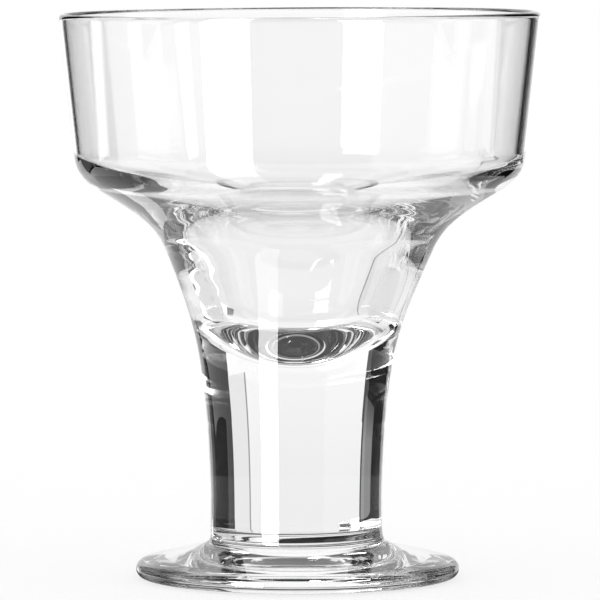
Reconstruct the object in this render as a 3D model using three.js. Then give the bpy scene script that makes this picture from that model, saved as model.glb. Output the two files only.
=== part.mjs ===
// A short-stemmed cocktail glass: a wide cup over a thick-walled well, a stout solid stem and a round foot.
// Millimetres, +Z up. The origin is on the axis, in the plane that the foot stands on.
import * as THREE from "three";

// Foot: a round disc with a rounded edge, a sloped top and a flat standing ring.
const FOOT_RADIUS = 36.4;
const FOOT_EDGE_THICKNESS = 4;
const FOOT_EDGE_ROUNDING = 1.9;
const FOOT_HEIGHT = 9.6;
const FOOT_SLOPE = 13;
const FOOT_FILLET_WIDTH = 4.2;
const STANDING_RING_WIDTH = 5.5;
const UNDERSIDE_HOLLOW = 1.1;

// Stem: a solid column, narrowest a little above the foot.
const STEM_LENGTH = 36.7;
const STEM_FOOT_RADIUS = 19.4;
const STEM_WAIST_RADIUS = 19.3;
const STEM_WAIST_RISE = 2.4;
const STEM_TOP_RADIUS = 21.3;
const STEM_TOP_LEAN = 7.8;

// Bowl, outside: heights are measured from one change of shape to the next.
const CONE_HEIGHT = 27.2;
const NECK_RADIUS = 29.9;
const NECK_LEAN = 22.6;
const COVE_HEIGHT = 14.5;
const COVE_RADIUS = 46.2;
const COVE_LEAN = 57;
const SHOULDER_HEIGHT = 6.7;
const SHOULDER_RADIUS = 50.6;
const WALL_HEIGHT = 31.2;
const RIM_RADIUS = 54;

// Bowl, inside: wall thicknesses, taken level, and how far each inner turn lies above its outer one.
const RIM_WALL = 1.7;
const RIM_INNER_ROUNDING = 0.55;
const CUP_WALL = 1.6;
const CUP_CORNER_RISE = 0.8;
const CUP_FLOOR_WALL = 1;
const CUP_FLOOR_RISE = 2.45;
const CUP_FLOOR_LEAN = 55.5;
const MOUTH_WALL = 3.1;
const MOUTH_RISE = 4.3;
const MOUTH_LEAN = 34;
const WELL_WALL = 3.3;
const WELL_LEAN = 23;
const WELL_FLOOR_THICKNESS = 2.6;
const WELL_CORNER_HEIGHT = 12.8;
const WELL_CORNER_DROP = 4.4;
const WELL_CORNER_INSET = 2.7;
const WELL_CORNER_LEAN = 44;

// Facets: sides around the axis, and steps along one curve of a section.
const SIDES = 56;
const CURVE_STEPS = 5;

// Share of the distance between two knots that a curve keeps to each knot's own direction.
const CURVE_PULL = 0.36;

// Heights of the two seals and of the bowl's changes of shape.
const stemSealZ = FOOT_HEIGHT;
const bowlSealZ = stemSealZ + STEM_LENGTH;
const neckZ = bowlSealZ + CONE_HEIGHT;
const coveZ = neckZ + COVE_HEIGHT;
const shoulderZ = coveZ + SHOULDER_HEIGHT;
const lipZ = shoulderZ + WALL_HEIGHT;

// A knot of a section: its distance from the axis, its height, and its lean away from straight up in degrees.
function knot(radius, height, lean) {
  const angle = THREE.MathUtils.degToRad(lean);
  return { at: new THREE.Vector2(radius, height), way: new THREE.Vector2(Math.sin(angle), Math.cos(angle)) };
}

// The lean of a straight line from one point of a section up to another.
function leanBetween(lowRadius, lowZ, highRadius, highZ) {
  return THREE.MathUtils.radToDeg(Math.atan2(highRadius - lowRadius, highZ - lowZ));
}

// A smooth line through knots, each left and entered along its own lean.
function flow(knots) {
  const points = [knots[0].at];
  knots.slice(1).forEach((to, index) => {
    const from = knots[index];
    const pull = from.at.distanceTo(to.at) * CURVE_PULL;
    const leave = from.at.clone().addScaledVector(from.way, pull);
    const enter = to.at.clone().addScaledVector(to.way, -pull);
    const curve = new THREE.CubicBezierCurve(from.at, leave, enter, to.at);
    points.push(...curve.getPoints(CURVE_STEPS).slice(1));
  });
  return points;
}

// An arc of a section, without its first point.
function arc(centreRadius, centreZ, radius, startAngle, endAngle) {
  const turns = new THREE.EllipseCurve(centreRadius, centreZ, radius, radius, startAngle, endAngle);
  return turns.getPoints(CURVE_STEPS).slice(1);
}

// A solid of revolution about Z from a section that starts and ends on the axis.
function turned(name, section, material) {
  const geometry = new THREE.LatheGeometry(section, SIDES);
  geometry.rotateX(Math.PI / 2);
  const mesh = new THREE.Mesh(geometry, material);
  mesh.name = name;
  return mesh;
}

function clearGlass() {
  return new THREE.MeshStandardMaterial({
    color: 0xf4f7f6,
    roughness: 0.03,
    metalness: 0,
    transparent: true,
    opacity: 0.35,
  });
}

// Foot: underside hollow, standing ring, rounded edge, sloped top, fillet and the face that takes the stem.
function makeFoot() {
  const ringOuter = FOOT_RADIUS - FOOT_EDGE_ROUNDING;
  const ringInner = ringOuter - STANDING_RING_WIDTH;
  const slopeFootRadius = STEM_FOOT_RADIUS + FOOT_FILLET_WIDTH;
  const slopeRise = (ringOuter - slopeFootRadius) * Math.tan(THREE.MathUtils.degToRad(FOOT_SLOPE));
  const slopeLean = FOOT_SLOPE - 90;
  const hollow = flow([knot(0, UNDERSIDE_HOLLOW, 90), knot(ringInner, 0, 100)]);
  const edgeLow = arc(ringOuter, FOOT_EDGE_ROUNDING, FOOT_EDGE_ROUNDING, -Math.PI / 2, 0);
  const top = flow([
    knot(FOOT_RADIUS, FOOT_EDGE_THICKNESS - FOOT_EDGE_ROUNDING, 0),
    knot(ringOuter, FOOT_EDGE_THICKNESS, slopeLean),
    knot(slopeFootRadius, FOOT_EDGE_THICKNESS + slopeRise, slopeLean),
    knot(STEM_FOOT_RADIUS, stemSealZ, 0),
  ]);
  const ringEdge = new THREE.Vector2(ringOuter, 0);
  const axisTop = new THREE.Vector2(0, stemSealZ);
  return turned("foot", [...hollow, ringEdge, ...edgeLow, ...top.slice(1), axisTop], clearGlass());
}

// Stem: both ends are the flat faces that the seals fuse.
function makeStem() {
  const side = flow([
    knot(STEM_FOOT_RADIUS, stemSealZ, 0),
    knot(STEM_WAIST_RADIUS, stemSealZ + STEM_WAIST_RISE, 0),
    knot(STEM_TOP_RADIUS, bowlSealZ, STEM_TOP_LEAN),
  ]);
  const axisLow = new THREE.Vector2(0, stemSealZ);
  const axisTop = new THREE.Vector2(0, bowlSealZ);
  return turned("stem", [axisLow, ...side, axisTop], clearGlass());
}

// Bowl: up the outside from the seal, over the rounded lip, and down the inside to the middle of the well.
function makeBowl() {
  const outerRounding = RIM_WALL - RIM_INNER_ROUNDING;
  const lipRadius = RIM_RADIUS - outerRounding;
  const lipInsideZ = lipZ + outerRounding - RIM_INNER_ROUNDING;
  const wallLean = leanBetween(SHOULDER_RADIUS, shoulderZ, RIM_RADIUS, lipZ);
  const outside = flow([
    knot(STEM_TOP_RADIUS, bowlSealZ, STEM_TOP_LEAN),
    knot(NECK_RADIUS, neckZ, NECK_LEAN),
    knot(COVE_RADIUS, coveZ, COVE_LEAN),
    knot(SHOULDER_RADIUS, shoulderZ, wallLean),
  ]);
  const lip = [
    ...arc(lipRadius, lipZ, outerRounding, 0, Math.PI / 2),
    ...arc(lipRadius, lipInsideZ, RIM_INNER_ROUNDING, Math.PI / 2, Math.PI),
  ];
  const cornerRadius = SHOULDER_RADIUS - CUP_WALL;
  const cornerZ = shoulderZ + CUP_CORNER_RISE;
  const innerLean = leanBetween(cornerRadius, cornerZ, RIM_RADIUS - RIM_WALL, lipInsideZ);
  const wellFloorZ = bowlSealZ + WELL_FLOOR_THICKNESS;
  const wellRadius = STEM_TOP_RADIUS - WELL_WALL;
  const wellCornerZ = wellFloorZ + WELL_CORNER_HEIGHT;
  const inside = flow([
    knot(0, wellFloorZ, 90),
    knot(wellRadius - WELL_CORNER_INSET, wellCornerZ - WELL_CORNER_DROP, WELL_CORNER_LEAN),
    knot(wellRadius, wellCornerZ, WELL_LEAN),
    knot(NECK_RADIUS - MOUTH_WALL, neckZ + MOUTH_RISE, MOUTH_LEAN),
    knot(COVE_RADIUS - CUP_FLOOR_WALL, coveZ + CUP_FLOOR_RISE, CUP_FLOOR_LEAN),
    knot(cornerRadius, cornerZ, innerLean),
  ]);
  const axisLow = new THREE.Vector2(0, bowlSealZ);
  const rimOutside = new THREE.Vector2(RIM_RADIUS, lipZ);
  return turned("bowl", [axisLow, ...outside, rimOutside, ...lip, ...inside.reverse()], clearGlass());
}

const glass = new THREE.Group();
glass.add(makeFoot(), makeStem(), makeBowl());

export default glass;
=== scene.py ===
import math

import bpy
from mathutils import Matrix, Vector


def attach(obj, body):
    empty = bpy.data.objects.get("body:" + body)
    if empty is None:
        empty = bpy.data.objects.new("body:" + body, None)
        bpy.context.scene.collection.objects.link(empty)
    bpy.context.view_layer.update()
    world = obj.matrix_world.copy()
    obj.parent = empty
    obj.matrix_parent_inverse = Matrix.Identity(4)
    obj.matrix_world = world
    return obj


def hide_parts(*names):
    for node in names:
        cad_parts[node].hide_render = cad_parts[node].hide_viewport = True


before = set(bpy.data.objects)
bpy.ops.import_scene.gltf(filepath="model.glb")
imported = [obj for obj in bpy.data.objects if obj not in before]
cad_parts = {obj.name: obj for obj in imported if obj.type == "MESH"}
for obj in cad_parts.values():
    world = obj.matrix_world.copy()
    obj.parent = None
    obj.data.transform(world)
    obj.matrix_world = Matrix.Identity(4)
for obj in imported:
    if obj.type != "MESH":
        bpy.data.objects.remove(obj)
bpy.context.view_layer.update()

scene = bpy.context.scene
MM = 0.001

# Foot, in millimetres and degrees, as all sizes below
FOOT_RADIUS = 36.4
FOOT_EDGE_THICKNESS = 4
FOOT_EDGE_ROUNDING = 1.9
FOOT_HEIGHT = 9.6
FOOT_SLOPE = 13
FOOT_FILLET_WIDTH = 4.2
STANDING_RING_WIDTH = 5.5
UNDERSIDE_HOLLOW = 1.1
HOLLOW_EDGE_LEAN = 100

# Stem
STEM_LENGTH = 36.7
STEM_FOOT_RADIUS = 19.4
STEM_WAIST_RADIUS = 19.3
STEM_WAIST_RISE = 2.4
STEM_TOP_RADIUS = 21.3
STEM_TOP_LEAN = 7.8

# Bowl, outside: heights are measured from one change of shape to the next
CONE_HEIGHT = 27.2
NECK_RADIUS = 29.9
NECK_LEAN = 22.6
COVE_HEIGHT = 14.5
COVE_RADIUS = 46.2
COVE_LEAN = 57
SHOULDER_HEIGHT = 6.7
SHOULDER_RADIUS = 50.6
WALL_HEIGHT = 31.2
RIM_RADIUS = 54

# Bowl, inside: wall thicknesses, taken level, and how far each inner turn lies above its outer one
RIM_WALL = 1.7
RIM_INNER_ROUNDING = 0.55
CUP_WALL = 1.6
CUP_CORNER_RISE = 0.8
CUP_FLOOR_WALL = 1
CUP_FLOOR_RISE = 2.45
CUP_FLOOR_LEAN = 55.5
MOUTH_WALL = 3.1
MOUTH_RISE = 4.3
MOUTH_LEAN = 34
WELL_WALL = 3.3
WELL_LEAN = 23
WELL_FLOOR_THICKNESS = 2.6
WELL_CORNER_HEIGHT = 12.8
WELL_CORNER_DROP = 4.4
WELL_CORNER_INSET = 2.7
WELL_CORNER_LEAN = 44

# Heights of the seals and of the bowl's changes of shape
STEM_SEAL_Z = FOOT_HEIGHT
BOWL_SEAL_Z = STEM_SEAL_Z + STEM_LENGTH
NECK_Z = BOWL_SEAL_Z + CONE_HEIGHT
COVE_Z = NECK_Z + COVE_HEIGHT
SHOULDER_Z = COVE_Z + SHOULDER_HEIGHT
LIP_Z = SHOULDER_Z + WALL_HEIGHT

# Sections: the lean of a level line, and the share of a curve that keeps to each knot's own direction
LEVEL = 90
CURVE_PULL = 0.36

# Fineness of the meshes: sides around the axis, and rows and steps along a section
SIDES = 208
ROW = 0.5
LEAST_STEPS = 8
ARC_STEPS = 12
SHARP_ANGLE = 50

# Material slots of each piece
GLASS = 0
SEAL = 1

# Trace of making: a bead on the right of the upper seal, with its turn in radians.
# It starts and is full where the cosine of the angle from its middle has these values
BEAD = 0.08
BEAD_SPREAD = 0.55
BEAD_TURN = -0.45
BEAD_EDGE = 0.55
BEAD_FULL = 0.85

# Trace of making: how far the axis of each piece strays to the right, and the heights between which
# one stray passes into the next
FOOT_STRAY = -0.14
FOOT_STRAY_TOP = 6
STEM_STRAY = -0.45
STEM_STRAY_LOW = 12
STEM_STRAY_TOP = 44
CUP_STRAY = 0.35
CUP_STRAY_LOW = 82

# Trace of making: how far the inside lies off the middle, and the rim's rise for each millimetre to the right
WELL_DRIFT = -0.3
RIM_DRIFT = -0.25
RIM_SLANT = 0.006

# Trace of making: tool waves on the left of the well's wall, with their turn in radians
RIPPLE = 0.025
RIPPLE_PITCH = 4.8
RIPPLE_LOW = 57
RIPPLE_HIGH = 79
RIPPLE_FADE = 4
RIPPLE_TURN = 0.35
RIPPLE_NARROWING = 4

# Glass: its refraction, and the faint waves and cords of pressed ware
GLASS_IOR = 1.52
WAVE_SCALE = 40
WAVE_STRETCH = (1, 1, 0.45)
WAVE_HEIGHT = 0.005
DEEPEST_TINT = 0.992


def knot(radius, height, lean):
    """A knot of a section: where it is, and its direction from a lean away from straight up."""
    angle = math.radians(lean)
    return Vector((radius, height)), Vector((math.sin(angle), math.cos(angle)))


def lean_between(low_radius, low_z, high_radius, high_z):
    """The lean of a straight line from one point of a section up to another."""
    return math.degrees(math.atan2(high_radius - low_radius, high_z - low_z))


def flow(knots):
    """A smooth line through knots, each left and entered along its own lean."""
    points = [knots[0][0]]
    for (start, leave), (end, enter) in zip(knots, knots[1:]):
        length = (end - start).length
        low = start + leave * length * CURVE_PULL
        high = end - enter * length * CURVE_PULL
        steps = max(LEAST_STEPS, round(length / ROW))
        for step in range(1, steps + 1):
            t = step / steps
            u = 1 - t
            points.append(u ** 3 * start + 3 * u * u * t * low + 3 * u * t * t * high + t ** 3 * end)
    return points


def arc(radius_at, z_at, radius, start, end):
    """Points of an arc of a section after its first one."""
    points = []
    for step in range(1, ARC_STEPS + 1):
        angle = start + (end - start) * step / ARC_STEPS
        points.append(Vector((radius_at + radius * math.cos(angle), z_at + radius * math.sin(angle))))
    return points


def smooth(value, low, high):
    """A soft step from 0 at the low value to 1 at the high one."""
    t = min(1, max(0, (value - low) / (high - low)))
    return t * t * (3 - 2 * t)


def bead(z, angle):
    """How far the seal's bead stands proud, on one side of the glass only."""
    side = smooth(math.cos(angle - BEAD_TURN), BEAD_EDGE, BEAD_FULL)
    return BEAD * side * math.exp(-((z - BOWL_SEAL_Z) / BEAD_SPREAD) ** 2)


def axis_at(z):
    """How far the axis strays to the right at a height, as fused pieces never line up quite."""
    to_stem = smooth(z, FOOT_STRAY_TOP, STEM_STRAY_LOW)
    to_cup = smooth(z, STEM_STRAY_TOP, CUP_STRAY_LOW)
    return FOOT_STRAY + (STEM_STRAY - FOOT_STRAY) * to_stem + (CUP_STRAY - STEM_STRAY) * to_cup


def drift(z):
    """How far the inside lies off the middle at a height."""
    return WELL_DRIFT + (RIM_DRIFT - WELL_DRIFT) * smooth(z, NECK_Z, LIP_Z)


def slant(x, z):
    """How far the rim runs up to one side."""
    return RIM_SLANT * x * smooth(z, SHOULDER_Z, LIP_Z)


def ripple(z, angle):
    """How far the tool waves stand out on one side of the well's wall."""
    side = max(0, -math.cos(angle - RIPPLE_TURN)) ** RIPPLE_NARROWING
    start = smooth(z, RIPPLE_LOW, RIPPLE_LOW + RIPPLE_FADE)
    end = 1 - smooth(z, RIPPLE_HIGH - RIPPLE_FADE, RIPPLE_HIGH)
    return RIPPLE * side * (start * end) * math.sin(2 * math.pi * z / RIPPLE_PITCH)


def turned(name, rows, materials):
    """A closed turned mesh from rows of a radius, a height, a share of the inside's traces and a slot."""
    verts = []
    rings = []
    for radius, z, inside, _ in rows:
        off = axis_at(z) + inside * drift(z)
        if radius == 0:
            rings.append([len(verts)] * SIDES)
            verts.append((off * MM, 0, z * MM))
            continue
        rings.append(list(range(len(verts), len(verts) + SIDES)))
        for side in range(SIDES):
            angle = 2 * math.pi * side / SIDES
            r = radius + (inside * ripple(z, angle) if inside else bead(z, angle))
            x = off + r * math.cos(angle)
            verts.append((x * MM, r * math.sin(angle) * MM, (z + slant(x, z)) * MM))
    faces = []
    slots = []
    for low, high, (_, _, _, slot) in zip(rings, rings[1:], rows[1:]):
        for side in range(SIDES):
            after = (side + 1) % SIDES
            corners = [low[side], low[after], high[after], high[side]]
            faces.append(list(dict.fromkeys(corners)))
            slots.append(slot)
    mesh = bpy.data.meshes.new(name)
    mesh.from_pydata(verts, [], faces)
    for material in materials:
        mesh.materials.append(material)
    mesh.polygons.foreach_set("material_index", slots)
    mesh.polygons.foreach_set("use_smooth", [slot == GLASS for slot in slots])
    mesh.set_sharp_from_angle(angle=math.radians(SHARP_ANGLE))
    piece = bpy.data.objects.new(name, mesh)
    scene.collection.objects.link(piece)
    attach(piece, "root")
    return piece


def glass_material(name):
    """Clear soda-lime glass with the faint waves and cords of pressed ware."""
    material = bpy.data.materials.new(name)
    material.use_nodes = True
    nodes = material.node_tree.nodes
    links = material.node_tree.links
    shader = nodes["Principled BSDF"]
    shader.inputs["Roughness"].default_value = 0
    shader.inputs["IOR"].default_value = GLASS_IOR
    shader.inputs["Transmission Weight"].default_value = 1
    place = nodes.new("ShaderNodeTexCoord")
    spread = nodes.new("ShaderNodeMapping")
    spread.inputs["Scale"].default_value = WAVE_STRETCH
    links.new(place.outputs["Object"], spread.inputs["Vector"])
    waves = nodes.new("ShaderNodeTexNoise")
    waves.inputs["Scale"].default_value = WAVE_SCALE
    waves.inputs["Detail"].default_value = 1
    links.new(spread.outputs["Vector"], waves.inputs["Vector"])
    bump = nodes.new("ShaderNodeBump")
    bump.inputs["Strength"].default_value = 1
    bump.inputs["Distance"].default_value = WAVE_HEIGHT * MM
    links.new(waves.outputs["Fac"], bump.inputs["Height"])
    links.new(bump.outputs["Normal"], shader.inputs["Normal"])
    tint = nodes.new("ShaderNodeMapRange")
    tint.inputs["To Min"].default_value = DEEPEST_TINT
    tint.inputs["To Max"].default_value = 1
    links.new(waves.outputs["Fac"], tint.inputs["Value"])
    links.new(tint.outputs["Result"], shader.inputs["Base Color"])
    return material


def seal_material():
    """A fused face inside the glass, which nothing can see."""
    material = bpy.data.materials.new("fused_face")
    material.use_nodes = True
    nodes = material.node_tree.nodes
    nodes.clear()
    clear = nodes.new("ShaderNodeBsdfTransparent")
    out = nodes.new("ShaderNodeOutputMaterial")
    material.node_tree.links.new(clear.outputs["BSDF"], out.inputs["Surface"])
    return material


def rows_of(points, inside=0):
    return [(p.x, p.y, inside, GLASS) for p in points]


def make_foot(seal):
    ring_outer = FOOT_RADIUS - FOOT_EDGE_ROUNDING
    ring_inner = ring_outer - STANDING_RING_WIDTH
    slope_radius = STEM_FOOT_RADIUS + FOOT_FILLET_WIDTH
    slope_rise = (ring_outer - slope_radius) * math.tan(math.radians(FOOT_SLOPE))
    slope_lean = FOOT_SLOPE - LEVEL
    hollow = flow([knot(0, UNDERSIDE_HOLLOW, LEVEL), knot(ring_inner, 0, HOLLOW_EDGE_LEAN)])
    edge = arc(ring_outer, FOOT_EDGE_ROUNDING, FOOT_EDGE_ROUNDING, -math.pi / 2, 0)
    top = flow([
        knot(FOOT_RADIUS, FOOT_EDGE_THICKNESS - FOOT_EDGE_ROUNDING, 0),
        knot(ring_outer, FOOT_EDGE_THICKNESS, slope_lean),
        knot(slope_radius, FOOT_EDGE_THICKNESS + slope_rise, slope_lean),
        knot(STEM_FOOT_RADIUS, STEM_SEAL_Z, 0),
    ])
    rows = rows_of([*hollow, Vector((ring_outer, 0)), *edge, *top])
    rows.append((0, STEM_SEAL_Z, 0, SEAL))
    return turned("foot_glass", rows, [glass_material("glass_foot"), seal])


def make_stem(seal):
    side = flow([
        knot(STEM_FOOT_RADIUS, STEM_SEAL_Z, 0),
        knot(STEM_WAIST_RADIUS, STEM_SEAL_Z + STEM_WAIST_RISE, 0),
        knot(STEM_TOP_RADIUS, BOWL_SEAL_Z, STEM_TOP_LEAN),
    ])
    rows = [(0, STEM_SEAL_Z, 0, SEAL), (STEM_FOOT_RADIUS, STEM_SEAL_Z, 0, SEAL)]
    rows += rows_of(side[1:])
    rows.append((0, BOWL_SEAL_Z, 0, SEAL))
    return turned("stem_glass", rows, [glass_material("glass_stem"), seal])


def make_bowl(seal):
    outer_rounding = RIM_WALL - RIM_INNER_ROUNDING
    lip_radius = RIM_RADIUS - outer_rounding
    lip_inside_z = LIP_Z + outer_rounding - RIM_INNER_ROUNDING
    wall_lean = lean_between(SHOULDER_RADIUS, SHOULDER_Z, RIM_RADIUS, LIP_Z)
    outside = flow([
        knot(STEM_TOP_RADIUS, BOWL_SEAL_Z, STEM_TOP_LEAN),
        knot(NECK_RADIUS, NECK_Z, NECK_LEAN),
        knot(COVE_RADIUS, COVE_Z, COVE_LEAN),
        knot(SHOULDER_RADIUS, SHOULDER_Z, wall_lean),
        knot(RIM_RADIUS, LIP_Z, wall_lean),
    ])
    lip = arc(lip_radius, LIP_Z, outer_rounding, 0, math.pi / 2)
    lip += arc(lip_radius, lip_inside_z, RIM_INNER_ROUNDING, math.pi / 2, math.pi)
    corner_radius = SHOULDER_RADIUS - CUP_WALL
    corner_z = SHOULDER_Z + CUP_CORNER_RISE
    inner_lean = lean_between(corner_radius, corner_z, RIM_RADIUS - RIM_WALL, lip_inside_z)
    well_z = BOWL_SEAL_Z + WELL_FLOOR_THICKNESS
    well_radius = STEM_TOP_RADIUS - WELL_WALL
    well_corner_z = well_z + WELL_CORNER_HEIGHT
    inside = flow([
        knot(0, well_z, LEVEL),
        knot(well_radius - WELL_CORNER_INSET, well_corner_z - WELL_CORNER_DROP, WELL_CORNER_LEAN),
        knot(well_radius, well_corner_z, WELL_LEAN),
        knot(NECK_RADIUS - MOUTH_WALL, NECK_Z + MOUTH_RISE, MOUTH_LEAN),
        knot(COVE_RADIUS - CUP_FLOOR_WALL, COVE_Z + CUP_FLOOR_RISE, CUP_FLOOR_LEAN),
        knot(corner_radius, corner_z, inner_lean),
        knot(RIM_RADIUS - RIM_WALL, lip_inside_z, inner_lean),
    ])
    rows = [(0, BOWL_SEAL_Z, 0, SEAL), (STEM_TOP_RADIUS, BOWL_SEAL_Z, 0, SEAL)]
    rows += rows_of(outside[1:])
    rows += [(p.x, p.y, (step + 1) / len(lip), GLASS) for step, p in enumerate(lip)]
    rows += rows_of(reversed(inside[:-1]), inside=1)
    return turned("bowl_glass", rows, [glass_material("glass_bowl"), seal])


seal_face = seal_material()
pieces = {"foot": make_foot(seal_face), "stem": make_stem(seal_face), "bowl": make_bowl(seal_face)}
for node, piece in pieces.items():
    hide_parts(node)

# Studio: a white surround with black walls and flags, open at both sides. Strength 1 is the surround's white
BLACK = 0.02
STUDIO_SIDE = 480
STUDIO_FRONT = -650
STUDIO_TOP = 450
STUDIO_LOW = -60
STUDIO_LOW_RIGHT = -200
SIDE_OPENING = 100
SIDE_FRONT_LOW = 30
FRONT_LOW = 20
FRONT_GREY = 0.4
FRONT_GREY_LOW = -260

# Rings of shade and light under the foot, each a little above the wider one: strength, radius and depth
UNDER_FOOT = (
    ("contact_edge", BLACK, 42, 0.72),
    ("contact", 0.75, 35, 0.7),
    ("contact_inside", BLACK, 22, 0.68),
    ("contact_ring", 0.3, 19, 0.66),
    ("contact_middle", 0.04, 17.5, 0.63),
)
DISC_SIDES = 64

# Grey cards that lie at both sides, below the glass
TABLE_GREY = 0.75
TABLE_Z = -58
TABLE_INNER = 110
TABLE_OUTER = 260
TABLE_NEAR = -100
TABLE_FAR = 330

# Backdrop, a white window that brightens upwards
BACKDROP_Y = 176
BACKDROP_LEFT = -110
BACKDROP_RIGHT = 104
BACKDROP_LOW_STRENGTH = 0.9
BACKDROP_HIGH_STRENGTH = 1.05
BACKDROP_HIGH_Z = 110

# Patches on the backdrop: a grey step and a dark gap beside it, which the stem shows on its left,
# and a bright and a dark patch low on the left, which the left shoulder shows
PATCH_Y = 175
STEP_GREY = 0.84
STEP_LEFT = 64.5
STEP_TOP = 64
GAP_GREY = 0.3
GAP_LEFT = 62
BRIGHT_PATCH = 2.2
BRIGHT_LEFT = -112
BRIGHT_LOW = -58
BRIGHT_TOP = -8
DARK_PATCH = 0.15
DARK_LEFT = -85
DARK_RIGHT = -60
DARK_TOP = -14

# Flags beside the backdrop: their inner edges step outwards below a height. A grey card lies on the left one
FLAG_Y = 400
FLAG_STEP_Z = 45
FLAG_LEFT_EDGE = -204
FLAG_LEFT_LOW_EDGE = -278
FLAG_RIGHT_EDGE = 178
FLAG_RIGHT_LOW_EDGE = 262
GREY_CARD_Y = 399
GREY_CARD_LEFT = -440
GREY_CARD_RIGHT = -292
GREY_CARD_LOW = -45
GREY_CARD_TOP = 75
GREY_CARD_SHADE_Z = 25
GREY_CARD_STRENGTH = 0.28
GREY_CARD_TOP_STRENGTH = 0.1

# Tall soft light at the front left, narrower at its top, with a weak sheen below. Bearings are in degrees
SOFTBOX_STRENGTH = 15
SOFTBOX_DISTANCE = 640
SOFTBOX_START = -46.6
SOFTBOX_END = -23
SOFTBOX_LOW = -420
SOFTBOX_NARROW_Z = 120
SOFTBOX_NARROW_START = -45
SOFTBOX_NARROW_END = -24.5
SOFTBOX_TOP = 370
SHEEN_STRENGTH = 3
SHEEN_LOW = -1100

# Small cards near the glass, for small highlights
FRONT_LEFT_STRENGTH = 4
FRONT_LEFT_CORNERS = ((-206, -153, 47), (-191.5, -173, 47), (-197, -166, 90), (-212, -141, 90))
LEFT_STRENGTH = 2
LEFT_CORNERS = ((-167, 62, 72), (-181, 37, 72), (-189, 18, 115), (-179, 42, 115))
RIGHT_STRENGTH = 1.4
RIGHT_CORNERS = ((187, 11, 72), (175, 40, 72), (183, 21, 115), (191, -7, 115))

# Bounces between which the soft light and the small cards fade, and the strength that they keep
DEEP_START = 6
DEEP_END = 8
DEEP_STRENGTH = 0.3

# Floor: a white sheet just under the foot. The camera sees it shaded in part and lit by itself in part
FLOOR_REACH = 3000
FLOOR_DEPTH = 0.3
FLOOR_SHADED = 0.35
FLOOR_GLOW = 0.65

# Camera, a little above the rim
CAMERA_DISTANCE = 1320
CAMERA_HEIGHT = 155.5
CAMERA_AIM = 62.4
CAMERA_X = 0.4
CAMERA_LENS = 353.1
CAMERA_SENSOR = 36

# Light paths
BOUNCES = 32
CLEAR_BOUNCES = 64


def card_material(name):
    """A card's material and its lit shader. Light that has met the floor passes the card."""
    material = bpy.data.materials.new(name)
    material.use_nodes = True
    nodes = material.node_tree.nodes
    links = material.node_tree.links
    nodes.clear()
    path = nodes.new("ShaderNodeLightPath")
    lit = nodes.new("ShaderNodeEmission")
    clear = nodes.new("ShaderNodeBsdfTransparent")
    pick = nodes.new("ShaderNodeMixShader")
    out = nodes.new("ShaderNodeOutputMaterial")
    links.new(path.outputs["Diffuse Depth"], pick.inputs["Fac"])
    links.new(lit.outputs["Emission"], pick.inputs[1])
    links.new(clear.outputs["BSDF"], pick.inputs[2])
    links.new(pick.outputs["Shader"], out.inputs["Surface"])
    return material, lit


def steady(name, strength):
    """A card of one strength."""
    material, lit = card_material(name)
    lit.inputs["Strength"].default_value = strength
    return material


def fading(name, strength):
    """A card that fades on light paths with many bounces, so that it leaves no chance glints."""
    material, lit = card_material(name)
    nodes = material.node_tree.nodes
    links = material.node_tree.links
    path = nodes.new("ShaderNodeLightPath")
    fade = nodes.new("ShaderNodeMapRange")
    fade.inputs["From Min"].default_value = DEEP_START
    fade.inputs["From Max"].default_value = DEEP_END
    fade.inputs["To Min"].default_value = strength
    fade.inputs["To Max"].default_value = DEEP_STRENGTH
    links.new(path.outputs["Ray Depth"], fade.inputs["Value"])
    links.new(fade.outputs["Result"], lit.inputs["Strength"])
    return material


def rising(name, low_z, low_strength, high_z, high_strength):
    """A card whose strength changes from one height to another."""
    material, lit = card_material(name)
    nodes = material.node_tree.nodes
    links = material.node_tree.links
    place = nodes.new("ShaderNodeTexCoord")
    height = nodes.new("ShaderNodeSeparateXYZ")
    ramp = nodes.new("ShaderNodeMapRange")
    ramp.inputs["From Min"].default_value = low_z * MM
    ramp.inputs["To Min"].default_value = low_strength
    ramp.inputs["From Max"].default_value = high_z * MM
    ramp.inputs["To Max"].default_value = high_strength
    links.new(place.outputs["Object"], height.inputs["Vector"])
    links.new(height.outputs["Z"], ramp.inputs["Value"])
    links.new(ramp.outputs["Result"], lit.inputs["Strength"])
    return material


def card(material, corners):
    """A flat card that only reflections and refractions show."""
    mesh = bpy.data.meshes.new(material.name)
    mesh.from_pydata([[v * MM for v in corner] for corner in corners], [], [list(range(len(corners)))])
    mesh.materials.append(material)
    piece = bpy.data.objects.new(material.name, mesh)
    scene.collection.objects.link(piece)
    piece.visible_camera = False
    piece.visible_diffuse = False
    piece.visible_shadow = False


def across(y, left, right, low, high):
    """Corners of a standing card that faces the camera."""
    return [(left, y, low), (right, y, low), (right, y, high), (left, y, high)]


def along(x, near, far, low, high):
    """Corners of a standing card at one side."""
    return [(x, near, low), (x, far, low), (x, far, high), (x, near, high)]


def level(z, left, right, near, far):
    """Corners of a lying card."""
    return [(left, near, z), (right, near, z), (right, far, z), (left, far, z)]


def around(start, end, low, high):
    """Corners of the soft light between two bearings from the glass, from the camera's side to the right."""
    feet = []
    for bearing in (start, end):
        angle = math.radians(bearing)
        feet.append((SOFTBOX_DISTANCE * math.sin(angle), -SOFTBOX_DISTANCE * math.cos(angle)))
    return [(*feet[0], low), (*feet[1], low), (*feet[1], high), (*feet[0], high)]


def disc(radius, z):
    """Corners of a lying round card."""
    corners = []
    for side in range(DISC_SIDES):
        angle = 2 * math.pi * side / DISC_SIDES
        corners.append((radius * math.cos(angle), radius * math.sin(angle), z))
    return corners


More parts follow.
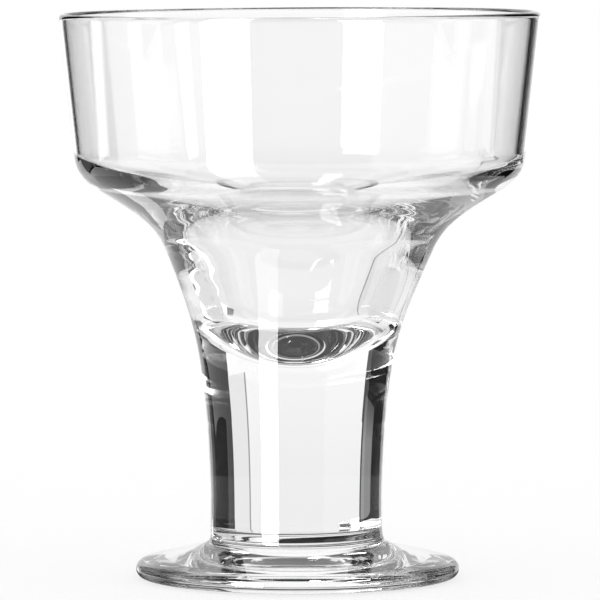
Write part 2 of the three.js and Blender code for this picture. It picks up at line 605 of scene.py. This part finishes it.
def make_under_glass():
    for name, strength, radius, depth in UNDER_FOOT:
        card(steady(name, strength), disc(radius, -depth))
    card(steady("table_left", TABLE_GREY), level(TABLE_Z, -TABLE_OUTER, -TABLE_INNER, TABLE_NEAR, TABLE_FAR))
    card(steady("table_right", TABLE_GREY), level(TABLE_Z, TABLE_INNER, TABLE_OUTER, TABLE_NEAR, TABLE_FAR))


def make_backdrop():
    window = rising("backdrop", 0, BACKDROP_LOW_STRENGTH, BACKDROP_HIGH_Z, BACKDROP_HIGH_STRENGTH)
    card(window, across(BACKDROP_Y, BACKDROP_LEFT, BACKDROP_RIGHT, STUDIO_LOW, STUDIO_TOP))
    card(steady("backdrop_step", STEP_GREY), across(PATCH_Y, STEP_LEFT, BACKDROP_RIGHT, STUDIO_LOW, STEP_TOP))
    card(steady("backdrop_gap", GAP_GREY), across(PATCH_Y, GAP_LEFT, STEP_LEFT, STUDIO_LOW, STEP_TOP))
    bright = steady("backdrop_low_left", BRIGHT_PATCH)
    card(bright, across(PATCH_Y, BRIGHT_LEFT, DARK_LEFT, BRIGHT_LOW, BRIGHT_TOP))
    dark = steady("backdrop_low_dark", DARK_PATCH)
    card(dark, across(PATCH_Y, DARK_LEFT, DARK_RIGHT, STUDIO_LOW, DARK_TOP))


def make_flags():
    card(steady("flag_left", BLACK), across(FLAG_Y, -STUDIO_SIDE, FLAG_LEFT_EDGE, FLAG_STEP_Z, STUDIO_TOP))
    left_low = across(FLAG_Y, -STUDIO_SIDE, FLAG_LEFT_LOW_EDGE, STUDIO_LOW, FLAG_STEP_Z)
    card(steady("flag_left_low", BLACK), left_low)
    grey = rising(
        "flag_left_grey", GREY_CARD_SHADE_Z, GREY_CARD_STRENGTH, GREY_CARD_TOP, GREY_CARD_TOP_STRENGTH
    )
    card(grey, across(GREY_CARD_Y, GREY_CARD_LEFT, GREY_CARD_RIGHT, GREY_CARD_LOW, GREY_CARD_TOP))
    card(steady("flag_right", BLACK), across(FLAG_Y, FLAG_RIGHT_EDGE, STUDIO_SIDE, FLAG_STEP_Z, STUDIO_TOP))
    right_low = across(FLAG_Y, FLAG_RIGHT_LOW_EDGE, STUDIO_SIDE, STUDIO_LOW_RIGHT, FLAG_STEP_Z)
    card(steady("flag_right_low", BLACK), right_low)


def make_walls():
    for side, x, back_low in (("left", -STUDIO_SIDE, STUDIO_LOW), ("right", STUDIO_SIDE, STUDIO_LOW_RIGHT)):
        back = along(x, SIDE_OPENING, FLAG_Y, back_low, STUDIO_TOP)
        card(steady("wall_" + side + "_back", BLACK), back)
        front = along(x, STUDIO_FRONT, -SIDE_OPENING, SIDE_FRONT_LOW, STUDIO_TOP)
        card(steady("wall_" + side + "_front", BLACK), front)
    card(steady("wall_front", BLACK), across(STUDIO_FRONT, -STUDIO_SIDE, STUDIO_SIDE, FRONT_LOW, STUDIO_TOP))
    front_grey = across(STUDIO_FRONT, -STUDIO_SIDE, STUDIO_SIDE, FRONT_GREY_LOW, FRONT_LOW)
    card(steady("wall_front_low", FRONT_GREY), front_grey)
    card(steady("roof", BLACK), level(STUDIO_TOP, -STUDIO_SIDE, STUDIO_SIDE, STUDIO_FRONT, BACKDROP_Y))


def make_lights():
    wide = around(SOFTBOX_START, SOFTBOX_END, SOFTBOX_LOW, SOFTBOX_NARROW_Z)
    card(fading("softbox", SOFTBOX_STRENGTH), wide)
    narrow = around(SOFTBOX_NARROW_START, SOFTBOX_NARROW_END, SOFTBOX_NARROW_Z, SOFTBOX_TOP)
    card(fading("softbox_high", SOFTBOX_STRENGTH), narrow)
    sheen = around(SOFTBOX_START, SOFTBOX_END, SHEEN_LOW, SOFTBOX_LOW)
    card(fading("softbox_sheen", SHEEN_STRENGTH), sheen)
    card(fading("card_front_left", FRONT_LEFT_STRENGTH), FRONT_LEFT_CORNERS)
    card(fading("card_left", LEFT_STRENGTH), LEFT_CORNERS)
    card(fading("card_right", RIGHT_STRENGTH), RIGHT_CORNERS)


def make_surround():
    world = bpy.data.worlds.new("studio")
    scene.world = world
    world.use_nodes = True
    sky = world.node_tree.nodes["Background"]
    sky.inputs["Color"].default_value = (1, 1, 1, 1)
    sky.inputs["Strength"].default_value = 1


def floor_material():
    """White for light that bounces off it, and partly lit by itself for the camera."""
    material = bpy.data.materials.new("floor")
    material.use_nodes = True
    nodes = material.node_tree.nodes
    links = material.node_tree.links
    nodes.clear()
    paint = nodes.new("ShaderNodeBsdfDiffuse")
    paint.inputs["Color"].default_value = (1, 1, 1, 1)
    shade = nodes.new("ShaderNodeBsdfDiffuse")
    shade.inputs["Color"].default_value = (FLOOR_SHADED, FLOOR_SHADED, FLOOR_SHADED, 1)
    glow = nodes.new("ShaderNodeEmission")
    glow.inputs["Strength"].default_value = FLOOR_GLOW
    seen = nodes.new("ShaderNodeAddShader")
    path = nodes.new("ShaderNodeLightPath")
    pick = nodes.new("ShaderNodeMixShader")
    out = nodes.new("ShaderNodeOutputMaterial")
    links.new(shade.outputs["BSDF"], seen.inputs[0])
    links.new(glow.outputs["Emission"], seen.inputs[1])
    links.new(path.outputs["Is Camera Ray"], pick.inputs["Fac"])
    links.new(paint.outputs["BSDF"], pick.inputs[1])
    links.new(seen.outputs["Shader"], pick.inputs[2])
    links.new(pick.outputs["Shader"], out.inputs["Surface"])
    return material


def make_floor():
    corners = level(0, -FLOOR_REACH, FLOOR_REACH, -FLOOR_REACH, FLOOR_REACH)
    mesh = bpy.data.meshes.new("floor")
    mesh.from_pydata([[v * MM for v in corner] for corner in corners], [], [(0, 1, 2, 3)])
    mesh.materials.append(floor_material())
    floor = bpy.data.objects.new("floor", mesh)
    scene.collection.objects.link(floor)
    floor.location.z = -FLOOR_DEPTH * MM
    floor.visible_glossy = False
    floor.visible_transmission = False


def make_camera():
    lens = bpy.data.cameras.new("camera")
    lens.lens = CAMERA_LENS
    lens.sensor_width = CAMERA_SENSOR
    camera = bpy.data.objects.new("camera", lens)
    scene.collection.objects.link(camera)
    camera.location = (CAMERA_X * MM, -CAMERA_DISTANCE * MM, CAMERA_HEIGHT * MM)
    tilt = math.atan2(CAMERA_HEIGHT - CAMERA_AIM, CAMERA_DISTANCE)
    camera.rotation_euler = (math.pi / 2 - tilt, 0, 0)
    scene.camera = camera


make_under_glass()
make_backdrop()
make_flags()
make_walls()
make_lights()
make_surround()
make_floor()
make_camera()

scene.view_settings.view_transform = "Standard"
scene.cycles.use_denoising = True
scene.cycles.max_bounces = BOUNCES
scene.cycles.transmission_bounces = BOUNCES
scene.cycles.glossy_bounces = BOUNCES
scene.cycles.transparent_max_bounces = CLEAR_BOUNCES
